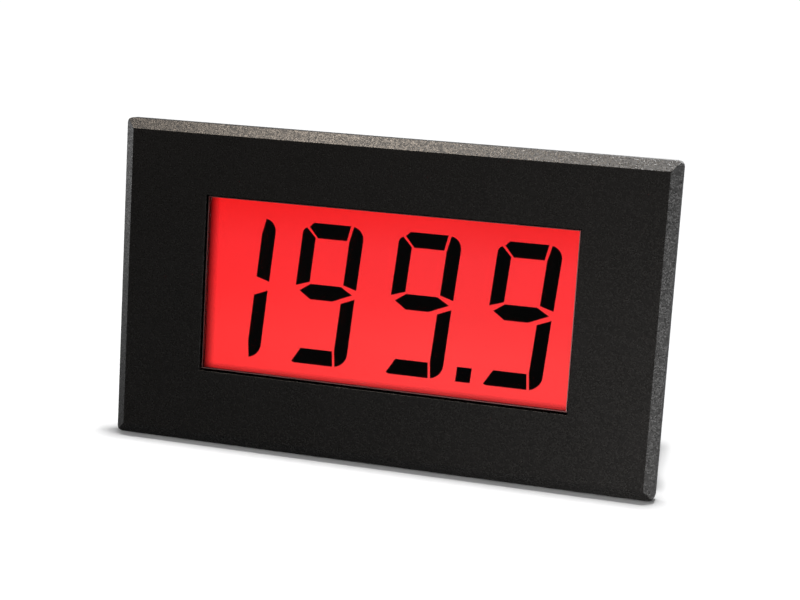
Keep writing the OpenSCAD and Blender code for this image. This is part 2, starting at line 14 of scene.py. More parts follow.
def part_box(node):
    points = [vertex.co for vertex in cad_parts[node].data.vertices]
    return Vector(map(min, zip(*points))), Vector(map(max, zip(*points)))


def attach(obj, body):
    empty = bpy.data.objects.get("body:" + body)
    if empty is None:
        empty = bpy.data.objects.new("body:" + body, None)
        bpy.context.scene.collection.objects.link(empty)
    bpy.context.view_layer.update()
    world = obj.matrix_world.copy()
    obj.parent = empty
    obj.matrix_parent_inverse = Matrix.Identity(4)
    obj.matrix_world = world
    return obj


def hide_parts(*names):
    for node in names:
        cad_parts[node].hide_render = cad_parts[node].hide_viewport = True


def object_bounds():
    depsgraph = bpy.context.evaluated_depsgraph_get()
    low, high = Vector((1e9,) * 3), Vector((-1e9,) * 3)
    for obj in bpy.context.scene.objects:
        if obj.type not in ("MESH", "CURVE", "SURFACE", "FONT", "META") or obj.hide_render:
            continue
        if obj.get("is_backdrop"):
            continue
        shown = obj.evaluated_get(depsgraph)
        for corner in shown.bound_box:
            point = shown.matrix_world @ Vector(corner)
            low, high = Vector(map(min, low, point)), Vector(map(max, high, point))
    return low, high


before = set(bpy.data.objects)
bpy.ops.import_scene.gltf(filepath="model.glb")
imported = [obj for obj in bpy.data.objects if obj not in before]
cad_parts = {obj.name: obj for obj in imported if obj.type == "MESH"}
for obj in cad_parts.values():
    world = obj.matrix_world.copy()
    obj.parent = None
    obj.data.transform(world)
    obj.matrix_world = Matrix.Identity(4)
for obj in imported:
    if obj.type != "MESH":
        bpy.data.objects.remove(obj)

MM = 0.001
METER = "meter"
POLES = 5
Colour = tuple[float, float, float]
Point = tuple[float, float, float]
Value = bpy.types.NodeSocket | float
log = logging.getLogger("panel_meter")
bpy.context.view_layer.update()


class Coat(Enum):
    """A plastic piece's mould surface, with how strongly its grain shows."""

    SPARK = 1.0
    SATIN = 0.35
    POLISHED = 0.1


class Reach(Enum):
    """What a lamp lights: everything, all but the floor, or the floor alone."""

    ALL = "all"
    METER = "meter"
    FLOOR = "floor"


# ---- shader helpers

# Sockets of the Mix node when it mixes colours
MIX_FACTOR, MIX_A, MIX_B, MIX_RESULT = 0, 6, 7, 2


@dataclass
class Graph:
    """A node tree with short calls for adding and joining nodes.

    Args:
        tree: The shader node tree that is worked on.
    """

    tree: bpy.types.NodeTree

    def add(self, kind: str, **values: object) -> bpy.types.Node:
        """Adds a node and sets its properties and unlinked inputs.

        Args:
            kind: The node's type, without the ShaderNode prefix.
            values: Properties by name, or inputs by name with spaces as underscores.

        Returns:
            The new node.
        """
        node = self.tree.nodes.new(kind if kind.startswith("Node") else "ShaderNode" + kind)
        for name, value in values.items():
            if hasattr(node, name):
                setattr(node, name, value)
            else:
                node.inputs[name.replace("_", " ")].default_value = value
        return node

    def join(self, source: bpy.types.NodeSocket, target: bpy.types.NodeSocket) -> None:
        """Links two sockets."""
        self.tree.links.new(source, target)

    def feed(self, value: Value | tuple[float, ...], target: bpy.types.NodeSocket) -> None:
        """Links a socket to an input, or sets the input to a number or a colour."""
        if isinstance(value, bpy.types.NodeSocket):
            self.join(value, target)
        else:
            target.default_value = value

    def spot(self) -> bpy.types.NodeSocket:
        """Returns the surface point in the piece's own coordinates."""
        return self.add("TexCoord").outputs["Object"]

    def noise(self, **values: float) -> bpy.types.Node:
        """Adds a noise texture that is fixed to the piece.

        Args:
            values: The texture's inputs by name.

        Returns:
            The texture's node.
        """
        node = self.add("TexNoise", **values)
        self.join(self.spot(), node.inputs["Vector"])
        return node

    def math(self, operation: str, a: Value, b: Value = 0.0,
             clamp: bool = False) -> bpy.types.NodeSocket:
        """Adds a Math node on two sockets or numbers.

        Args:
            operation: The Math node's operation.
            a: A socket or a number.
            b: A socket or a number.
            clamp: Whether the result is kept from 0 to 1.

        Returns:
            The result's socket.
        """
        node = self.add("Math", operation=operation, use_clamp=clamp)
        self.feed(a, node.inputs[0])
        self.feed(b, node.inputs[1])
        return node.outputs[0]

    def span(self, value: bpy.types.NodeSocket, low: float, high: float, to_low: float = 0.0,
             to_high: float = 1.0, smooth: bool = True) -> bpy.types.NodeSocket:
        """Maps a value from one range to another, with ends held.

        Args:
            value: The socket to map.
            low: Input that gives to_low.
            high: Input that gives to_high.
            to_low: Result at low.
            to_high: Result at high.
            smooth: Whether the ramp eases in and out.

        Returns:
            The mapped value's socket.
        """
        node = self.add("MapRange", interpolation_type="SMOOTHSTEP" if smooth else "LINEAR")
        self.join(value, node.inputs["Value"])
        ends = {"From Min": low, "From Max": high, "To Min": to_low, "To Max": to_high}
        for name, number in ends.items():
            node.inputs[name].default_value = number
        return node.outputs["Result"]

    def mix(self, factor: Value, a: bpy.types.NodeSocket | Colour,
            b: bpy.types.NodeSocket | Colour) -> bpy.types.NodeSocket:
        """Mixes two colours.

        Args:
            factor: A socket or a number from 0 to 1.
            a: The colour at 0, a socket or three numbers.
            b: The colour at 1, a socket or three numbers.

        Returns:
            The mixed colour's socket.
        """
        node = self.add("Mix", data_type="RGBA")
        self.feed(factor, node.inputs[MIX_FACTOR])
        for index, value in ((MIX_A, a), (MIX_B, b)):
            self.feed((*value, 1.0) if isinstance(value, tuple) else value, node.inputs[index])
        return node.outputs[MIX_RESULT]


FLOAT = "NodeSocketFloat"


@dataclass(frozen=True)
class Effect:
    """A node group with named inputs and outputs, built once and placed in many materials.

    Args:
        name: The group's name.
        inputs: Input names with their default numbers.
        outputs: Output names with their socket types.
    """

    name: str
    inputs: tuple[tuple[str, float], ...]
    outputs: tuple[tuple[str, str], ...]

    def make(self) -> bpy.types.NodeTree:
        """Returns the group, building it the first time."""
        found = bpy.data.node_groups.get(self.name)
        if found:
            return found
        tree = bpy.data.node_groups.new(self.name, "ShaderNodeTree")
        for name, value in self.inputs:
            socket = tree.interface.new_socket(name, in_out="INPUT", socket_type=FLOAT)
            socket.default_value = value
        for name, kind in self.outputs:
            tree.interface.new_socket(name, in_out="OUTPUT", socket_type=kind)
        graph = Graph(tree)
        start = graph.add("NodeGroupInput")
        end = graph.add("NodeGroupOutput")
        self.fill(graph, start.outputs, end.inputs)
        return tree

    def fill(self, graph: Graph, given: object, wanted: object) -> None:
        """Builds the group's inside; each effect has its own."""
        raise NotImplementedError

    def place(self, graph: Graph, **values: float) -> bpy.types.Node:
        """Adds the group to a material.

        Args:
            graph: The material's graph.
            values: Inputs by name.

        Returns:
            The group's node.
        """
        node = graph.add("Group")
        node.node_tree = self.make()
        for name, value in values.items():
            node.inputs[name].default_value = value
        return node


# How much finer than the named grain size the pits and the flecks are
PIT_FINENESS = 1.7
FLECK_FINENESS = 1.15


class MouldGrain(Effect):
    """Fine pits that a spark-eroded mould leaves, each grain a little brighter or darker."""

    def fill(self, graph: Graph, given: object, wanted: object) -> None:
        """Builds pits, a shade for each grain and broad mottling."""
        pits = graph.noise(Detail=1.0, Roughness=0.5)
        graph.join(graph.math("MULTIPLY", given["Scale"], PIT_FINENESS), pits.inputs["Scale"])
        graph.join(pits.outputs["Fac"], wanted["Height"])
        cells = graph.add("TexVoronoi")
        graph.join(graph.spot(), cells.inputs["Vector"])
        graph.join(graph.math("MULTIPLY", given["Scale"], FLECK_FINENESS), cells.inputs["Scale"])
        chance = graph.add("SeparateColor")
        graph.join(cells.outputs["Color"], chance.inputs[0])
        graph.join(chance.outputs[0], wanted["Fleck"])
        broad = graph.noise(Detail=3.0, Roughness=0.55)
        graph.join(given["Mottle Scale"], broad.inputs["Scale"])
        graph.join(graph.span(broad.outputs["Fac"], low=0.3, high=0.7), wanted["Mottle"])


class EdgeWear(Effect):
    """A broken mask along the edges, and the edges' rounded normal."""

    def fill(self, graph: Graph, given: object, wanted: object) -> None:
        """Compares the rounded normal with the true one."""
        rounded = graph.add("Bevel", samples=4)
        graph.join(given["Radius"], rounded.inputs["Radius"])
        true = graph.add("NewGeometry")
        dot = graph.add("VectorMath", operation="DOT_PRODUCT")
        graph.join(rounded.outputs["Normal"], dot.inputs[0])
        graph.join(true.outputs["Normal"], dot.inputs[1])
        edge = graph.span(dot.outputs["Value"], low=0.995, high=0.86)
        noise = graph.noise(Scale=2600.0, Detail=3.0, Roughness=0.6)
        broken = graph.span(noise.outputs["Fac"], low=0.35, high=0.62, to_low=0.35)
        graph.join(graph.math("MULTIPLY", edge, broken, clamp=True), wanted["Mask"])
        graph.join(rounded.outputs["Normal"], wanted["Rounded"])


class SurfaceDust(Effect):
    """Sparse settled dust, thicker on faces that look up."""

    def fill(self, graph: Graph, given: object, wanted: object) -> None:
        """Weights fine noise by how far the surface faces up."""
        up = graph.add("SeparateXYZ")
        graph.join(graph.add("NewGeometry").outputs["Normal"], up.inputs[0])
        facing = graph.span(up.outputs["Z"], low=-0.2, high=0.9, to_low=0.15)
        noise = graph.noise(Scale=1400.0, Detail=5.0, Roughness=0.7)
        specks = graph.span(noise.outputs["Fac"], low=0.55, high=0.75)
        settled = graph.math("MULTIPLY", facing, specks)
        graph.join(graph.math("MULTIPLY", settled, given["Amount"], clamp=True), wanted["Mask"])


class TurnedStreaks(Effect):
    """Streaks that a tool or a brush leaves on metal, stretched along one axis."""

    def fill(self, graph: Graph, given: object, wanted: object) -> None:
        """Builds stretched noise for height and for a roughness change."""
        stretch = graph.add("Mapping", Scale=(1.0, 0.06, 1.0))
        graph.join(graph.spot(), stretch.inputs["Vector"])
        streaks = graph.add("TexNoise", Detail=4.0, Roughness=0.6)
        graph.join(stretch.outputs["Vector"], streaks.inputs["Vector"])
        graph.join(given["Scale"], streaks.inputs["Scale"])
        graph.join(streaks.outputs["Fac"], wanted["Height"])
        blotches = graph.noise(Scale=700.0, Detail=3.0)
        graph.join(graph.span(blotches.outputs["Fac"], low=0.35, high=0.65), wanted["Tarnish"])


MOULD_GRAIN = MouldGrain("mould grain", (("Scale", 4000.0), ("Mottle Scale", 120.0)),
                         (("Height", FLOAT), ("Fleck", FLOAT), ("Mottle", FLOAT)))
EDGE_WEAR = EdgeWear("edge wear", (("Radius", 0.0002),),
                     (("Mask", FLOAT), ("Rounded", "NodeSocketVector")))
SURFACE_DUST = SurfaceDust("surface dust", (("Amount", 0.5),), (("Mask", FLOAT),))
TURNED_STREAKS = TurnedStreaks("turned streaks", (("Scale", 5000.0),),
                               (("Height", FLOAT), ("Tarnish", FLOAT)))


def blank_material(name: str) -> tuple[bpy.types.Material, Graph, bpy.types.Node]:
    """Makes a material with one Principled shader.

    Args:
        name: The material's name.

    Returns:
        The material, its graph and the Principled node.
    """
    material = bpy.data.materials.new(name)
    material.use_nodes = True
    graph = Graph(material.node_tree)
    shader = material.node_tree.nodes["Principled BSDF"]
    return material, graph, shader


def scaled(colour: Colour, factor: float) -> Colour:
    """Returns a colour made lighter or darker by a factor."""
    return tuple(min(1.0, part * factor) for part in colour)


# ---- finishes

DUST_GREY = (0.42, 0.40, 0.37)
# How much dust and wear hide the colour below, and how they and the flecks change the roughness
DUST_COVER, WEAR_COVER = 0.35, 0.6
DUST_ROUGH, WEAR_ROUGH, FLECK_ROUGH = 0.3, -0.08, -0.36
# How much lighter than the plastic the brightest fleck is
FLECK_GAIN = 2.2
# Change of roughness that goes with a full change of colour
MOTTLE_ROUGH = 0.25


class Finish(Protocol):
    """A look that can be built into a material."""

    name: str

    def build(self) -> bpy.types.Material:
        """Returns the material."""


@dataclass(frozen=True)
class MouldedPlastic:
    """Injection-moulded plastic with mould grain, worn edges and a little dust.

    Args:
        name: The material's name.
        colour: Base colour.
        roughness: Roughness of the smooth skin.
        coat: The mould's surface.
        specular: Specular level of the plastic.
        grain_mm: Size of one grain.
        grain_depth: Depth of the grain in millimetres.
        fleck: How much the grain's peaks stand out.
        mottle: Broad unevenness of colour and gloss.
        wear: Colour gain on edges.
        dust: Amount of settled dust.
        soft_edges: Whether its edges look rounded where the shape has none of its own.
    """

    name: str
    colour: Colour
    roughness: float = 0.45
    coat: Coat = Coat.SATIN
    specular: float = 0.5
    grain_mm: float = 0.24
    grain_depth: float = 0.012
    fleck: float = 0.3
    mottle: float = 0.14
    wear: float = 1.6
    dust: float = 0.25
    soft_edges: bool = False

    def build(self) -> bpy.types.Material:
        """Returns the material."""
        material, graph, shader = blank_material(self.name)
        grain = MOULD_GRAIN.place(graph, Scale=1.0 / (self.grain_mm * MM))
        edges = EDGE_WEAR.place(graph, Radius=0.00018)
        wear = edges.outputs["Mask"]
        dust = SURFACE_DUST.place(graph, Amount=self.dust).outputs["Mask"]
        strength = self.coat.value
        tone = graph.mix(grain.outputs["Mottle"], scaled(self.colour, 1.0 - self.mottle),
                         scaled(self.colour, 1.0 + self.mottle))
        worn = graph.mix(graph.math("MULTIPLY", wear, WEAR_COVER), tone,
                         scaled(self.colour, self.wear))
        fleck = grain.outputs["Fleck"]
        flecked = graph.mix(graph.math("MULTIPLY", fleck, self.fleck * strength), worn,
                            scaled(self.colour, FLECK_GAIN))
        dusty = graph.mix(graph.math("MULTIPLY", dust, DUST_COVER), flecked, DUST_GREY)
        graph.join(dusty, shader.inputs["Base Color"])
        uneven = self.mottle * MOTTLE_ROUGH
        broad = graph.span(grain.outputs["Mottle"], low=0.0, high=1.0,
                           to_low=self.roughness - uneven, to_high=self.roughness + uneven)
        polished = graph.math("ADD", graph.math("MULTIPLY", wear, WEAR_ROUGH),
                              graph.math("MULTIPLY", fleck, FLECK_ROUGH * self.fleck * strength))
        rough = graph.math("ADD", broad, polished)
        dulled = graph.math("ADD", rough, graph.math("MULTIPLY", dust, DUST_ROUGH), clamp=True)
        graph.join(dulled, shader.inputs["Roughness"])
        bump = graph.add("Bump", Strength=strength, Distance=self.grain_depth * MM)
        graph.join(grain.outputs["Height"], bump.inputs["Height"])
        if self.soft_edges:
            graph.join(edges.outputs["Rounded"], bump.inputs["Normal"])
        graph.join(bump.outputs["Normal"], shader.inputs["Normal"])
        shader.inputs["Specular IOR Level"].default_value = self.specular
        return material


@dataclass(frozen=True)
class PlatedMetal:
    """Zinc or tin plated metal with tool streaks and tarnish.

    Args:
        name: The material's name.
        colour: Base colour.
        roughness: Mean roughness.
        streak_mm: Size of one streak across its length.
    """

    name: str
    colour: Colour
    roughness: float = 0.3
    streak_mm: float = 0.12

    def build(self) -> bpy.types.Material:
        """Returns the material."""
        material, graph, shader = blank_material(self.name)
        streaks = TURNED_STREAKS.place(graph, Scale=1.0 / (self.streak_mm * MM))
        wear = EDGE_WEAR.place(graph, Radius=0.0001).outputs["Mask"]
        tone = graph.mix(streaks.outputs["Tarnish"], scaled(self.colour, 0.72), self.colour)
        graph.join(graph.mix(graph.math("MULTIPLY", wear, 0.5), tone, scaled(self.colour, 1.25)),
                   shader.inputs["Base Color"])
        rough = graph.span(streaks.outputs["Height"], low=0.3, high=0.7,
                           to_low=self.roughness - 0.08, to_high=self.roughness + 0.1)
        graph.join(rough, shader.inputs["Roughness"])
        shader.inputs["Metallic"].default_value = 1.0
        bump = graph.add("Bump", Strength=0.5, Distance=0.004 * MM)
        graph.join(streaks.outputs["Height"], bump.inputs["Height"])
        graph.join(bump.outputs["Normal"], shader.inputs["Normal"])
        return material


@dataclass(frozen=True)
class ClearPlate:
    """Clear glass or plastic that light passes through.

    Args:
        name: The material's name.
        tint: Colour of the light that passes.
        index: Refractive index.
        roughness: Surface roughness.
    """

    name: str
    tint: Colour = (1.0, 1.0, 1.0)
    index: float = 1.5
    roughness: float = 0.0

    def build(self) -> bpy.types.Material:
        """Returns the material, with faint smears in its gloss."""
        material, graph, shader = blank_material(self.name)
        shader.inputs["Base Color"].default_value = (*self.tint, 1.0)
        shader.inputs["Transmission Weight"].default_value = 1.0
        shader.inputs["IOR"].default_value = self.index
        smear = graph.noise(Scale=90.0, Detail=4.0, Roughness=0.6)
        rough = graph.span(smear.outputs["Fac"], low=0.45, high=0.8,
                           to_low=self.roughness, to_high=self.roughness + 0.03)
        graph.join(rough, shader.inputs["Roughness"])
        return material


@dataclass(frozen=True)
class LitPanel:
    """A diffuser lit from behind, with painted shade that darkens it towards its border.

    Args:
        name: The material's name.
        tones: Emitted colours from the top of the field down to its lower half.
        levels: Height in metres at which each tone is reached.
        strength: Emission strength.
        half_w: Half width in metres of the evenly lit field.
        half_h: Half height in metres of the evenly lit field.
        fade_w: Width of the painted shade at the sides in metres.
        fade_h: Width of the painted shade above and below in metres.
        middle_x: Sideways place of the field's middle in metres.
        middle_z: Height of the field's middle in metres.
        border: Share of the light that the painted shade leaves at the border's outer edge.
        purity: How far the colour leans to pure red at the left.
    """

    name: str
    tones: tuple[Colour, ...]
    levels: tuple[float, ...]
    strength: float
    half_w: float
    half_h: float
    fade_w: float
    fade_h: float
    middle_x: float = 0.0
    middle_z: float = 0.0
    border: float = 0.06
    purity: float = 0.3

    def build(self) -> bpy.types.Material:
        """Returns the material."""
        material, graph, shader = blank_material(self.name)
        parts = graph.add("SeparateXYZ")
        graph.join(graph.spot(), parts.inputs[0])
        side = self.falloff(graph, parts.outputs["X"], self.middle_x, self.half_w, self.fade_w)
        end = self.falloff(graph, parts.outputs["Z"], self.middle_z, self.half_h, self.fade_h)
        # Painted shade: both the glow and the matt colour below darken towards the field's border, as if
        # the window's recess shaded it.
        level = graph.math("MULTIPLY", side, end)
        cloud = graph.noise(Scale=45.0, Detail=2.0)
        uneven = graph.span(cloud.outputs["Fac"], low=0.3, high=0.7, to_low=0.97, to_high=1.03)
        colour = self.tones[0]
        for above, below, tone in zip(self.levels, self.levels[1:], self.tones[1:]):
            share = graph.span(parts.outputs["Z"], above, below, smooth=False)
            colour = graph.mix(share, colour, tone)
        purer = graph.span(parts.outputs["X"], -self.half_w, 0.3 * self.half_w,
                           to_low=self.purity, to_high=0.0, smooth=False)
        colour = graph.mix(purer, colour, (self.tones[-1][0], 0.0, 0.0))
        dim = graph.mix(graph.math("MULTIPLY", level, uneven), (0.0, 0.0, 0.0), colour)
        graph.join(dim, shader.inputs["Emission Color"])
        shader.inputs["Emission Strength"].default_value = self.strength
        cloth = scaled(self.tones[-1], 0.6)
        graph.join(graph.mix(level, scaled(cloth, 0.5), cloth), shader.inputs["Base Color"])
        shader.inputs["Roughness"].default_value = 0.6
        return material

    def falloff(self, graph: Graph, along: bpy.types.NodeSocket, middle: float, half: float,
                fade: float) -> bpy.types.NodeSocket:
        """Holds the light level across the lit field and dims it in the border, as painted shade of the
        window's recess.

        Args:
            graph: The material's graph.
            along: The coordinate that is followed.
            middle: The field's middle along it.
            half: Half the evenly lit length.
            fade: Width of the border.

        Returns:
            The light level's socket.
        """
        # Painted shade: the level falls from full light to the border's share across the border.
        offset = graph.math("ABSOLUTE", graph.math("SUBTRACT", along, middle))
        return graph.span(offset, half, half + fade, to_low=1.0, to_high=self.border, smooth=False)


@dataclass(frozen=True)
class BoardLaminate:
    """Solder-masked glass laminate: its weave and copper tracks show through the mask.

    Args:
        name: The material's name.
        colour: Colour of the solder mask.
        track: Colour of the mask over copper.
    """

    name: str
    colour: Colour
    track: Colour

    def build(self) -> bpy.types.Material:
        """Returns the material."""
        material, graph, shader = blank_material(self.name)
        weave = graph.add("TexWave", Scale=900.0, Distortion=0.4)
        graph.join(graph.spot(), weave.inputs["Vector"])
        tracks = graph.add("TexBrick", Scale=260.0, Mortar_Size=0.06)
        graph.join(graph.spot(), tracks.inputs["Vector"])
        masked = graph.mix(tracks.outputs["Fac"], self.colour, self.track)
        shows = graph.math("MULTIPLY", weave.outputs["Fac"], 0.12)
        graph.join(graph.mix(shows, masked, scaled(self.colour, 1.5)), shader.inputs["Base Color"])
        shader.inputs["Roughness"].default_value = 0.32
        bump = graph.add("Bump", Strength=0.4, Distance=0.00001)
        graph.join(weave.outputs["Fac"], bump.inputs["Height"])
        graph.join(bump.outputs["Normal"], shader.inputs["Normal"])
        return material


@dataclass
class Finishes:
    """Every finish of the meter, built once and shared by the pieces.

    Args:
        made: Materials by name, filled as they are asked for.
    """

    made: dict[str, bpy.types.Material] = field(default_factory=dict)

    def of(self, finish: Finish) -> bpy.types.Material:
        """Returns a finish's material, building it the first time."""
        if finish.name not in self.made:
            self.made[finish.name] = finish.build()
        return self.made[finish.name]


BLACK = (0.0050, 0.0047, 0.0045)
GREEN = (0.018, 0.26, 0.085)
HOUSING_BLACK = MouldedPlastic(
    "housing black", BLACK, roughness=0.54, coat=Coat.SPARK, grain_mm=0.19, grain_depth=0.025,
    fleck=1.0, mottle=0.04, dust=0.02)
CLIP_BLACK = MouldedPlastic("clip black", scaled(BLACK, 1.1), roughness=0.38, grain_mm=0.3)
TERMINAL_GREEN = MouldedPlastic(
    "terminal green", GREEN, roughness=0.36, grain_mm=0.3, grain_depth=0.01, wear=1.3, dust=0.12)
PLUG_GREEN = replace(TERMINAL_GREEN, name="plug green", soft_edges=True)
MARK_WHITE = MouldedPlastic(
    "mark white", (0.52, 0.52, 0.50), roughness=0.5, grain_mm=0.2, wear=0.7, dust=0.1)
FRAME_WHITE = MouldedPlastic("frame white", (0.78, 0.78, 0.74), roughness=0.4, wear=1.05)
CHIP_BLACK = MouldedPlastic(
    "chip black", (0.02, 0.02, 0.022), roughness=0.5, coat=Coat.SPARK, grain_mm=0.12)
TRIMMER_BLUE = MouldedPlastic("trimmer blue", (0.02, 0.09, 0.38), roughness=0.4)
TRIMMER_WHITE = MouldedPlastic("trimmer white", (0.74, 0.70, 0.58), roughness=0.42)
CAPACITOR_RED = MouldedPlastic(
    "capacitor red", (0.42, 0.03, 0.02), roughness=0.28, coat=Coat.POLISHED)
CAPACITOR_YELLOW = MouldedPlastic("capacitor yellow", (0.65, 0.40, 0.05), roughness=0.4)
LAMP_WHITE = MouldedPlastic("lamp white", (0.82, 0.80, 0.74), roughness=0.35, coat=Coat.POLISHED)
SEAL_EPOXY = MouldedPlastic("seal epoxy", (0.12, 0.09, 0.05), roughness=0.3, coat=Coat.POLISHED)
STRIP_RUBBER = MouldedPlastic("strip rubber", (0.55, 0.30, 0.32), roughness=0.6)
FILM_WHITE = MouldedPlastic("film white", (0.85, 0.85, 0.84), roughness=0.5, coat=Coat.POLISHED)
SEGMENT_BLACK = MouldedPlastic(
    "segment black", (0.0006, 0.0006, 0.0006), roughness=0.6, coat=Coat.POLISHED, specular=0.0,
    dust=0.0, wear=1.0)
SCREW_ZINC = PlatedMetal("screw zinc", (0.68, 0.69, 0.70), roughness=0.3)
CONTACT_TIN = PlatedMetal("contact tin", (0.66, 0.64, 0.60), roughness=0.36)
WINDOW_CLEAR = ClearPlate("window clear", index=1.49)
WINDOW_SIDE = MouldedPlastic(
    "window side", (0.012, 0.004, 0.004), roughness=0.5, specular=0.2, dust=0.0)
# Painted light: the window's rounded edge is opaque, and its reddish colour stands in for the backlight's
# red light seen through a clear edge.
WINDOW_EDGE_PAINTED_GLOW = MouldedPlastic(
    "window edge painted glow", (0.10, 0.045, 0.045), roughness=0.35, specular=0.4, dust=0.0, wear=1.0)
GLASS_CLEAR = ClearPlate("display glass", tint=(0.97, 1.0, 0.98), index=1.52)
FILM_GREY = ClearPlate("polarising film", tint=(0.92, 0.92, 0.92), index=1.49)
GUIDE_CLEAR = ClearPlate("guide clear", tint=(1.0, 0.82, 0.82), index=1.49, roughness=0.1)
BOARD_GREEN = BoardLaminate("board green", (0.012, 0.10, 0.045), (0.03, 0.19, 0.08))
BACKLIGHT_RED = LitPanel(
    "backlight red",
    tones=((0.86, 0.018, 0.0207), (0.947, 0.0327, 0.0395),
           (0.974, 0.0368, 0.042), (0.974, 0.048, 0.0516)),
    levels=(0.0108, 0.006, 0.0, -0.006), strength=1.9, half_w=0.0233, half_h=0.01068,
    fade_w=0.0013, fade_h=0.0012, middle_x=0.0003, middle_z=0.00034)


# ---- pieces

# Points this close merge, faces turned this little are one flat, and sharper edges are rounded
WELD_GAP = 0.000002
FLAT_DEG = 0.6
SHARP_DEG = 28.0


@dataclass
class Dresser:
    """Gives CAD nodes their finish and rounds their moulded or cut edges.

    Args:
        finishes: The shared finishes.
    """

    finishes: Finishes

    def finish(self, node: str, finish: Finish) -> bpy.types.Object:
        """Puts one finish on a CAD node.

        Args:
            node: The node's name.
            finish: The finish to give it.

        Returns:
            The node's object.
        """
        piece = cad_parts[node]
        piece.data.materials.clear()
        piece.data.materials.append(self.finishes.of(finish))
        log.info("%s: %s", node, finish.name)
        return piece

    def round_edges(self, piece: bpy.types.Object, radius_mm: float, steps: int) -> None:
        """Adds modifiers that merge flat triangles and round the sharp edges.

        Args:
            piece: The CAD node's object.
            radius_mm: Radius of the rounding.
            steps: Number of facets across a rounding.
        """
        if "custom_normal" in piece.data.attributes:
            piece.data.attributes.remove(piece.data.attributes["custom_normal"])
        for polygon in piece.data.polygons:
            polygon.use_smooth = True
        weld = piece.modifiers.new("weld", "WELD")
        weld.merge_threshold = WELD_GAP
        flat = piece.modifiers.new("merge flats", "DECIMATE")
        flat.decimate_type = "DISSOLVE"
        flat.angle_limit = math.radians(FLAT_DEG)
        bevel = piece.modifiers.new("round edges", "BEVEL")
        bevel.width = radius_mm * MM
        bevel.segments = steps
        bevel.limit_method = "ANGLE"
        bevel.angle_limit = math.radians(SHARP_DEG)
        bevel.harden_normals = True

    def dress(self, node: str, finish: Finish, radius_mm: float, steps: int = 2) -> None:
        """Finishes a CAD node and rounds its edges."""
        self.round_edges(self.finish(node, finish), radius_mm, steps)


def new_piece(name: str, mesh: bpy.types.Mesh, material: bpy.types.Material, body: str) -> bpy.types.Object:
    """Adds a mesh as a piece that rides on a body.

    Args:
        name: The piece's name.
        mesh: Its mesh, in the frame's coordinates.
        material: Its finish.
        body: The CAD body that it rides on.

    Returns:
        The new object.
    """
    piece = bpy.data.objects.new(name, mesh)
    bpy.context.scene.collection.objects.link(piece)
    mesh.materials.append(material)
    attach(piece, body)
    log.info("piece %s rides on %s", name, body)
    return piece


def mesh_of(name: str, shape: bmesh.types.BMesh) -> bpy.types.Mesh:
    """Turns a mesh under construction into a finished one."""
    mesh = bpy.data.meshes.new(name)
    shape.to_mesh(mesh)
    shape.free()
    return mesh


def block_mesh(name: str, low: Vector, high: Vector) -> bpy.types.Mesh:
    """Makes a plain plate between two corners.

    Args:
        name: The mesh's name.
        low: Its lowest corner.
        high: Its highest corner.

    Returns:
        The mesh.
    """
    shape = bmesh.new()
    bmesh.ops.create_cube(shape, size=1.0)
    span = high - low
    for vertex in shape.verts:
        vertex.co = Vector(low[axis] + (vertex.co[axis] + 0.5) * span[axis]
                           for axis in range(3))
    return mesh_of(name, shape)


def raised_face() -> tuple[float, float, float, float]:
    """Finds the window's raised face from the solid's foremost points.

    Returns:
        Its centre along X and Z, its half width and its half height, edge slopes included.
    """
    low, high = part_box("window_lens")
    rim_y = low.y + (high.y - low.y) * 0.5
    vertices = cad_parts["window_lens"].data.vertices
    points = [vertex.co for vertex in vertices if vertex.co.y < rim_y]
    xs = [point.x for point in points]
    zs = [point.z for point in points]
    centre_x, centre_z = (min(xs) + max(xs)) / 2, (min(zs) + max(zs)) / 2
    return centre_x, centre_z, (max(xs) - min(xs)) / 2, (max(zs) - min(zs)) / 2


@dataclass
class SubAssembly:
    """A group of pieces that belong together on the bench.

    Args:
        dresser: Puts finishes on CAD nodes.
    """

    dresser: Dresser

    def look(self, finish: Finish) -> bpy.types.Material:
        """Returns a finish's shared material."""
        return self.dresser.finishes.of(finish)

    def build(self) -> None:
        """Dresses or adds the pieces; each sub-assembly has its own."""
        raise NotImplementedError


@dataclass
class Housing(SubAssembly):
    """The bezel moulding, the rear cover and its screws.

    Args:
        bezel_edge_mm: Rounding of the bezel's moulded edges.
    """

    bezel_edge_mm: float = 0.12

    def build(self) -> None:
        """Dresses the housing's pieces."""
        self.dresser.dress("front_bezel", HOUSING_BLACK, self.bezel_edge_mm, 3)
        self.dresser.dress("rear_cover", HOUSING_BLACK, 0.15)
        self.dresser.dress("cover_screws", SCREW_ZINC, 0.08)


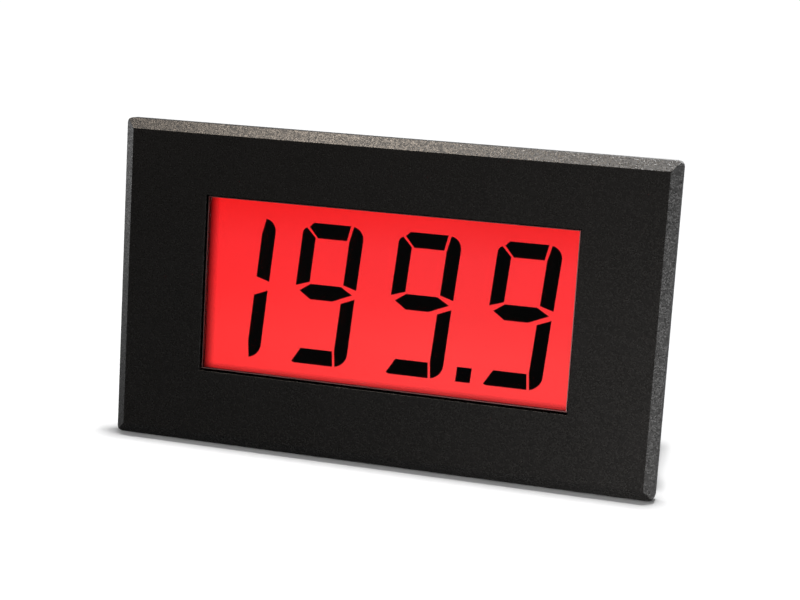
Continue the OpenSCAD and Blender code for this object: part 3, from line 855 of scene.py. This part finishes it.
@dataclass
class Display(SubAssembly):
    """The window and the layers of the lit display behind it.

    Args:
        layer_gap_mm: Air left round each clear layer, so that no two faces coincide.
        lens_rim_mm: Thickness of the window's hidden rim.
        lens_trim_mm: Taken off the window's raised face all round, so that its gap shows.
        lens_shift_mm: How far the loose window has settled to one side and up in its aperture.
        lens_edge_mm: Rounding of the window's raised edge.
        lens_edge_steps: Number of facets across that rounding.
    """

    layer_gap_mm: float = 0.004
    lens_rim_mm: float = 1.0
    lens_trim_mm: float = 0.04
    lens_shift_mm: float = 0.11
    lens_edge_mm: float = 0.14
    lens_edge_steps: int = 4

    def build(self) -> None:
        """Dresses the display from the window to the reflector."""
        self.window()
        self.layer("front_polariser", "front_polarising_film", FILM_GREY, "polariser")
        self.layer("lcd_front_glass", "front_display_glass", GLASS_CLEAR, "display_glass")
        self.layer("lcd_rear_glass", "rear_display_glass", GLASS_CLEAR, "display_glass")
        self.layer("rear_polariser", "rear_polarising_film", FILM_GREY, "polariser")
        for node, finish in (("lcd_segments", SEGMENT_BLACK), ("lcd_edge_seal", SEAL_EPOXY),
                             ("diffuser_film", BACKLIGHT_RED), ("light_guide", GUIDE_CLEAR),
                             ("reflector_film", FILM_WHITE), ("contact_strips", STRIP_RUBBER)):
            self.dresser.finish(node, finish)
        self.dresser.dress("backlight_leds", LAMP_WHITE, 0.08)
        self.dresser.dress("display_frame", FRAME_WHITE, 0.1)

    def layer(self, node: str, name: str, finish: ClearPlate, slot: str) -> None:
        """Builds one clear plate of the display in place of its solid.

        Args:
            node: The CAD node that it stands for.
            name: The piece's name.
            finish: Its finish.
            slot: The record's material slot; not used.
        """
        low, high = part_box(node)
        gap = Vector((1.0, 1.0, 1.0)) * self.layer_gap_mm * MM
        mesh = block_mesh(name, low + gap, high - gap)
        piece = new_piece(name, mesh, self.look(finish), METER)
        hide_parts(node)

    def window_rings(self) -> list[tuple[float, float, float, float, float]]:
        """Lists the window's outlines from its face back to the rear of its rim.

        Returns:
            For each outline its half width, half height, place along Y, and centre in X and Z.
        """
        low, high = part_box("window_lens")
        centre_x, centre_z, half_w, half_h = raised_face()
        half_w, half_h = half_w - self.lens_trim_mm * MM, half_h - self.lens_trim_mm * MM
        centre_x += self.lens_shift_mm * MM
        centre_z += self.lens_shift_mm * MM
        gap = self.layer_gap_mm * MM
        radius = self.lens_edge_mm * MM
        rings = []
        for step in range(self.lens_edge_steps + 1):
            angle = math.pi / 2 * step / self.lens_edge_steps
            inset = radius * (1.0 - math.sin(angle))
            depth = low.y + gap + radius * (1.0 - math.cos(angle))
            rings.append((half_w - inset, half_h - inset, depth, centre_x, centre_z))
        rim_y = high.y - self.lens_rim_mm * MM + gap
        rim_w, rim_h = high.x - gap, high.z - gap
        rings.append((half_w, half_h, rim_y, centre_x, centre_z))
        rings.append((rim_w, rim_h, rim_y, 0.0, 0.0))
        rings.append((rim_w, rim_h, high.y - gap, 0.0, 0.0))
        return rings

    def window(self) -> None:
        """Builds the clear window: a raised face with rounded edges on a wider rim."""
        finishes = (WINDOW_CLEAR, WINDOW_SIDE, WINDOW_EDGE_PAINTED_GLOW)
        signs = ((-1, -1), (1, -1), (1, 1), (-1, 1))
        shape = bmesh.new()
        loops = [[shape.verts.new((at_x + sx * width, depth, at_z + sz * height))
                  for sx, sz in signs]
                 for width, height, depth, at_x, at_z in self.window_rings()]
        shape.faces.new(loops[0])
        for level, (front, back) in enumerate(zip(loops, loops[1:])):
            # The rounded edge takes the opaque finish whose reddish colour is painted light from the
            # backlight; the side and the rim are dark.
            look = WINDOW_EDGE_PAINTED_GLOW if level < self.lens_edge_steps else WINDOW_SIDE
            for index in range(4):
                follow = (index + 1) % 4
                corners = (front[index], back[index], back[follow], front[follow])
                shape.faces.new(corners).material_index = finishes.index(look)
        shape.faces.new(loops[-1][::-1])
        bmesh.ops.recalc_face_normals(shape, faces=shape.faces)
        mesh = mesh_of("clear_window", shape)
        piece = new_piece("clear_window", mesh, self.look(WINDOW_CLEAR), METER)
        for finish in finishes[1:]:
            mesh.materials.append(self.look(finish))
        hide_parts("window_lens")


class Electronics(SubAssembly):
    """The circuit board and what is soldered to it."""

    def build(self) -> None:
        """Dresses the board's pieces."""
        self.dresser.finish("circuit_board", BOARD_GREEN)
        for node in ("converter_chip", "regulator_chip", "chip_resistors"):
            self.dresser.dress(node, CHIP_BLACK, 0.05)
        self.dresser.dress("film_capacitors", CAPACITOR_RED, 0.3, 3)
        self.dresser.dress("tantalum_capacitors", CAPACITOR_YELLOW, 0.1)
        self.dresser.dress("trimmer_body", TRIMMER_BLUE, 0.15)
        self.dresser.dress("trimmer_rotor", TRIMMER_WHITE, 0.08)


class Terminals(SubAssembly):
    """The header on the board and the plug with its screws and clamps."""

    def build(self) -> None:
        """Dresses the terminals' pieces."""
        self.dresser.dress("terminal_header", TERMINAL_GREEN, 0.12)
        self.dresser.finish("terminal_plug", PLUG_GREEN)
        self.dresser.finish("header_pins", CONTACT_TIN)
        self.dresser.finish("plug_contacts", CONTACT_TIN)
        for pole in range(1, POLES + 1):
            self.dresser.dress(f"wire_clamp_{pole}", CONTACT_TIN, 0.08)
            self.dresser.dress(f"terminal_screw_{pole}", SCREW_ZINC, 0.08)


class PanelClips(SubAssembly):
    """The two slides that hold the meter in its panel."""

    def build(self) -> None:
        """Dresses both clips."""
        for side in ("left", "right"):
            self.dresser.dress(f"{side}_panel_clip", CLIP_BLACK, 0.1)


def raise_outline(shape: bmesh.types.BMesh, points: list[tuple[float, float]], base: float,
                  rise: float) -> None:
    """Adds a flat outline, raised along Y with its sides, to a mesh under construction.

    Args:
        shape: The mesh under construction.
        points: The outline's corners as X and Z.
        base: Where its foot lies along Y.
        rise: How far it stands.
    """
    foot = [shape.verts.new((x, base, z)) for x, z in points]
    top = [shape.verts.new((x, base + rise, z)) for x, z in points]
    shape.faces.new(top)
    shape.faces.new(foot[::-1])
    for index in range(len(points)):
        follow = (index + 1) % len(points)
        shape.faces.new((foot[index], foot[follow], top[follow], top[index]))


# Height of a numeral as a share of its font size
CAPITAL_SHARE = 0.7


@dataclass
class RearMarks(SubAssembly):
    """What the mould leaves on the rear cover: numerals, a turning arrow and witness marks.

    Args:
        numeral_mm: Height of a numeral.
        numeral_rise_mm: How far a numeral stands above its recess.
        recess_mm: Depth of the numerals' recess.
        recess_above_mm: From the header's top to the middle of the recess.
        arrow_mm: Radius of the arrow's arc.
        stroke_mm: Half width of the arrow's stroke, and how far it stands out.
        ejector_places: Where the ejectors stood, as shares of the cover's half width and height.
        ejector_steps: Radius and height in metres of each step of a witness mark.
    """

    numeral_mm: float = 2.9
    numeral_rise_mm: float = 0.25
    recess_mm: float = 0.4
    recess_above_mm: float = 4.7
    arrow_mm: float = 4.3
    stroke_mm: float = 0.18
    ejector_places: tuple[tuple[float, float], ...] = (
        (-0.62, 0.0), (0.86, -0.28), (-0.2, 0.82), (0.42, 0.86), (0.1, -0.86), (-0.66, -0.82))
    ejector_steps: tuple[tuple[float, float], ...] = ((0.0014, 0.00005), (0.0012, 0.00007))

    def build(self) -> None:
        """Adds every mark."""
        self.numerals()
        self.arrow()
        self.ejector_marks()

    def numerals(self) -> None:
        """Adds a numeral above each terminal, read from behind."""
        rise = self.numeral_rise_mm * MM
        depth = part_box("rear_cover")[1].y - self.recess_mm * MM + rise / 2
        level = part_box("terminal_header")[1].z + self.recess_above_mm * MM
        turn = Matrix(((-1.0, 0.0, 0.0), (0.0, 0.0, 1.0), (0.0, 1.0, 0.0))).to_4x4()
        for pole in range(1, POLES + 1):
            low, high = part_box(f"terminal_screw_{pole}")
            mesh = self.numeral_mesh(str(pole), rise)
            place = Vector(((low.x + high.x) / 2, depth, level))
            mesh.transform(Matrix.Translation(place) @ turn)
            new_piece(f"terminal_numeral_{pole}", mesh, self.look(MARK_WHITE), METER)

    def numeral_mesh(self, numeral: str, rise: float) -> bpy.types.Mesh:
        """Makes one numeral lying flat about the origin.

        Args:
            numeral: What is written.
            rise: Its thickness in metres.

        Returns:
            The numeral's mesh.
        """
        text = bpy.data.curves.new(f"numeral {numeral}", "FONT")
        text.body = numeral
        text.size = self.numeral_mm * MM / CAPITAL_SHARE
        text.extrude = rise / 2
        text.bevel_depth = 0.00003
        text.offset = 0.00004
        text.align_x, text.align_y = "CENTER", "CENTER"
        maker = bpy.data.objects.new(f"numeral maker {numeral}", text)
        bpy.context.scene.collection.objects.link(maker)
        bpy.context.view_layer.update()
        done = maker.evaluated_get(bpy.context.evaluated_depsgraph_get())
        mesh = bpy.data.meshes.new_from_object(done)
        bpy.data.objects.remove(maker)
        mesh.materials.clear()
        return mesh

    def arrow(self) -> None:
        """Adds an arc with an arrowhead at both ends round the trimmer's access hole."""
        low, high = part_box("trimmer_rotor")
        centre = Vector(((low.x + high.x) / 2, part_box("rear_cover")[1].y, (low.z + high.z) / 2))
        radius, stroke = self.arrow_mm * MM, self.stroke_mm * MM
        barb, tip = 3.2 * stroke, 0.22
        first, last, steps = math.radians(50.0), math.radians(130.0), 24
        angles = [first + (last - first) * step / steps for step in range(steps + 1)]
        outline = [(radius + stroke, angle) for angle in angles]
        outline += [(radius + barb, last), (radius, last + tip), (radius - barb, last)]
        outline += [(radius - stroke, angle) for angle in reversed(angles)]
        outline += [(radius - barb, first), (radius, first - tip), (radius + barb, first)]
        shape = bmesh.new()
        points = [(centre.x + reach * math.cos(angle), centre.z + reach * math.sin(angle))
                  for reach, angle in outline]
        raise_outline(shape, points, centre.y, stroke)
        self.add_mark("trimmer_arrow", shape, MARK_WHITE)

    def ejector_marks(self) -> None:
        """Adds the round witness marks of the mould's ejectors."""
        low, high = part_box("rear_cover")
        middle, half = (low + high) / 2, (high - low) / 2
        turns = [math.tau * step / 40 for step in range(40)]
        shape = bmesh.new()
        for across, upward in self.ejector_places:
            at_x, at_z = middle.x + across * half.x, middle.z + upward * half.z
            for radius, rise in self.ejector_steps:
                ring = [(at_x + radius * math.cos(turn), at_z + radius * math.sin(turn))
                        for turn in turns]
                raise_outline(shape, ring, high.y, rise)
        self.add_mark("ejector_marks", shape, HOUSING_BLACK)

    def add_mark(self, name: str, shape: bmesh.types.BMesh, finish: Finish) -> None:
        """Turns a mesh under construction into a piece of the housing."""
        bmesh.ops.recalc_face_normals(shape, faces=shape.faces)
        new_piece(name, mesh_of(name, shape), self.look(finish), METER)


# ---- studio

# Green and blue that pure amber lacks
AMBER_LOSS = (0.35, 0.7)


@dataclass(frozen=True)
class SoftBox:
    """A square lamp that looks at a point.

    Args:
        name: The lamp's name.
        place: Its middle, in metres.
        size: Its side, in metres.
        watts: Its power.
        aim: The point that it faces, in metres.
        warmth: How far its colour leans from white to amber, from 0 to 1.
        reach: What it lights.
        soft: Whether it lights matt colour alone and leaves no highlight.
    """

    name: str
    place: Point
    size: float
    watts: float
    aim: Point = (0.0, 0.0, 0.0)
    warmth: float = 0.0
    reach: Reach = Reach.METER
    soft: bool = False

    def build(self) -> None:
        """Adds the lamp to the scene."""
        lamp = bpy.data.lights.new(self.name, "AREA")
        lamp.shape = "SQUARE"
        lamp.size = self.size
        lamp.energy = self.watts
        green, blue = (1.0 - loss * self.warmth for loss in AMBER_LOSS)
        lamp.color = (1.0, green, blue)
        thing = bpy.data.objects.new(self.name, lamp)
        thing.location = self.place
        toward = Vector(self.aim) - Vector(self.place)
        thing.rotation_euler = toward.to_track_quat("-Z", "Y").to_euler()
        thing.visible_camera = False
        thing.visible_glossy = not self.soft
        thing.visible_transmission = not self.soft
        bpy.context.scene.collection.objects.link(thing)
        if self.reach is not Reach.ALL:
            shaded = bpy.data.collections.new(f"{self.name} reach")
            shaded.objects.link(bpy.data.objects["floor"])
            alone = self.reach is Reach.FLOOR
            link = shaded.collection_objects[0].light_linking
            link.link_state = "INCLUDE" if alone else "EXCLUDE"
            thing.light_linking.receiver_collection = shaded
            if not alone:
                thing.light_linking.blocker_collection = shaded


LAMPS = (
    SoftBox("overhead box", place=(0.02, 0.002, 1.0), size=0.09, watts=9.4, reach=Reach.ALL),
    SoftBox("floor fill", place=(0.0, -0.35, 0.15), size=0.30, watts=0.6, reach=Reach.FLOOR),
    SoftBox("front box", place=(-0.077, -0.075, 0.24), size=0.085, watts=0.35, warmth=0.40),
    SoftBox("left fill", place=(-0.42, -0.02, 0.05), size=0.20, watts=0.35),
    SoftBox("right fill", place=(0.40, -0.10, -0.06), size=0.16, watts=0.30),
    SoftBox("corner fill", place=(0.062, -0.045, -0.019), size=0.03, watts=0.078,
            aim=(0.03, 0.0, -0.015), soft=True),
    SoftBox("back fill", place=(0.10, 0.45, 0.25), size=0.30, watts=0.8, aim=(0.0, 0.01, 0.0)),
)


@dataclass
class Studio:
    """The pale floor, the lamps, the surroundings and the camera.

    Args:
        floor_radius: Radius of the floor's disc.
        floor_solid: Radius within which the floor is whole.
        floor_gap: How far the floor lies below the meter's lowest point.
        seen_white: Brightness of the surroundings to the camera.
        eye_mm: Where the camera stands.
        forward: Which way it looks.
        upward: Which way is up in its picture.
        lens_mm: Its focal length.
    """

    floor_radius: float = 0.30
    floor_solid: float = 0.12
    floor_gap: float = 0.00002
    seen_white: float = 1.05
    eye_mm: Point = (55.1, -192.4, 33.4)
    forward: Point = (-0.2639, 0.9507, -0.1629)
    upward: Point = (-0.1026, 0.1403, 0.9848)
    lens_mm: float = 73.8

    def build(self) -> None:
        """Sets up the whole studio."""
        self.floor()
        self.surroundings()
        for lamp in LAMPS:
            lamp.build()
        self.camera()

    def floor(self) -> None:
        """Adds a disc that fades out, tilted to touch the flange's and the cover's lower edges."""
        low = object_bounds()[0]
        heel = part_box("rear_cover")
        rise = heel[0].z - low[2]
        slope = math.atan2(rise, heel[1].y)
        shape = bmesh.new()
        bmesh.ops.create_circle(shape, cap_ends=True, segments=96, radius=self.floor_radius)
        mesh = mesh_of("floor", shape)
        disc = bpy.data.objects.new("floor", mesh)
        disc.location = (0.0, 0.0, low[2] - self.floor_gap)
        disc.rotation_euler = (slope, 0.0, 0.0)
        disc.visible_glossy = False
        disc.visible_transmission = False
        bpy.context.scene.collection.objects.link(disc)
        material, graph, shader = blank_material("pale floor")
        shader.inputs["Base Color"].default_value = (0.93, 0.93, 0.93, 1.0)
        shader.inputs["Roughness"].default_value = 0.9
        shader.inputs["Specular IOR Level"].default_value = 0.1
        away = graph.add("VectorMath", operation="LENGTH")
        graph.join(graph.spot(), away.inputs[0])
        whole = graph.span(away.outputs["Value"], self.floor_solid, self.floor_radius * 0.95,
                           to_low=1.0, to_high=0.0)
        graph.join(whole, shader.inputs["Alpha"])
        mesh.materials.append(material)
        disc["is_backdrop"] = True

    def surroundings(self) -> None:
        """Makes the surroundings white to the camera, and a dimmer light that comes from behind."""
        world = bpy.data.worlds.new("studio")
        world.use_nodes = True
        bpy.context.scene.world = world
        graph = Graph(world.node_tree)
        out = world.node_tree.nodes["World Output"]
        seen = world.node_tree.nodes["Background"]
        seen.inputs["Color"].default_value = (1.0, 1.0, 1.0, 1.0)
        seen.inputs["Strength"].default_value = self.seen_white
        parts = graph.add("SeparateXYZ")
        graph.join(graph.add("TexCoord").outputs["Generated"], parts.inputs[0])
        lit = graph.add("Background", Color=(0.97, 0.98, 1.0, 1.0))
        behind = graph.span(parts.outputs["Y"], low=-0.85, high=0.1, to_low=0.01, to_high=0.28)
        above = graph.span(parts.outputs["Z"], low=-0.6, high=-0.05, to_low=0.15)
        graph.join(graph.math("MULTIPLY", behind, above), lit.inputs["Strength"])
        choice = graph.add("MixShader")
        graph.join(graph.add("LightPath").outputs["Is Camera Ray"], choice.inputs[0])
        graph.join(lit.outputs[0], choice.inputs[1])
        graph.join(seen.outputs[0], choice.inputs[2])
        graph.join(choice.outputs[0], out.inputs["Surface"])

    def camera(self) -> None:
        """Adds the camera at the viewing angle of a viewer just right of and above the meter."""
        lens = bpy.data.cameras.new("camera")
        lens.lens = self.lens_mm
        lens.clip_start = 0.005
        eye = Vector(self.eye_mm) * MM
        forward = Vector(self.forward).normalized()
        side = forward.cross(Vector(self.upward)).normalized()
        turn = Matrix((side, side.cross(forward), -forward)).transposed()
        thing = bpy.data.objects.new("camera", lens)
        thing.matrix_world = Matrix.Translation(eye) @ turn.to_4x4()
        bpy.context.scene.collection.objects.link(thing)
        bpy.context.scene.camera = thing
        bpy.context.scene.view_settings.view_transform = "Standard"


def main() -> None:
    """Builds the studio and dresses every sub-assembly in order."""
    logging.basicConfig(level=logging.INFO, format="%(message)s")
    Studio().build()
    dresser = Dresser(Finishes())
    for assembly in (Housing, Display, Electronics, Terminals, PanelClips, RearMarks):
        assembly(dresser).build()


if __name__ == "__main__":
    main()
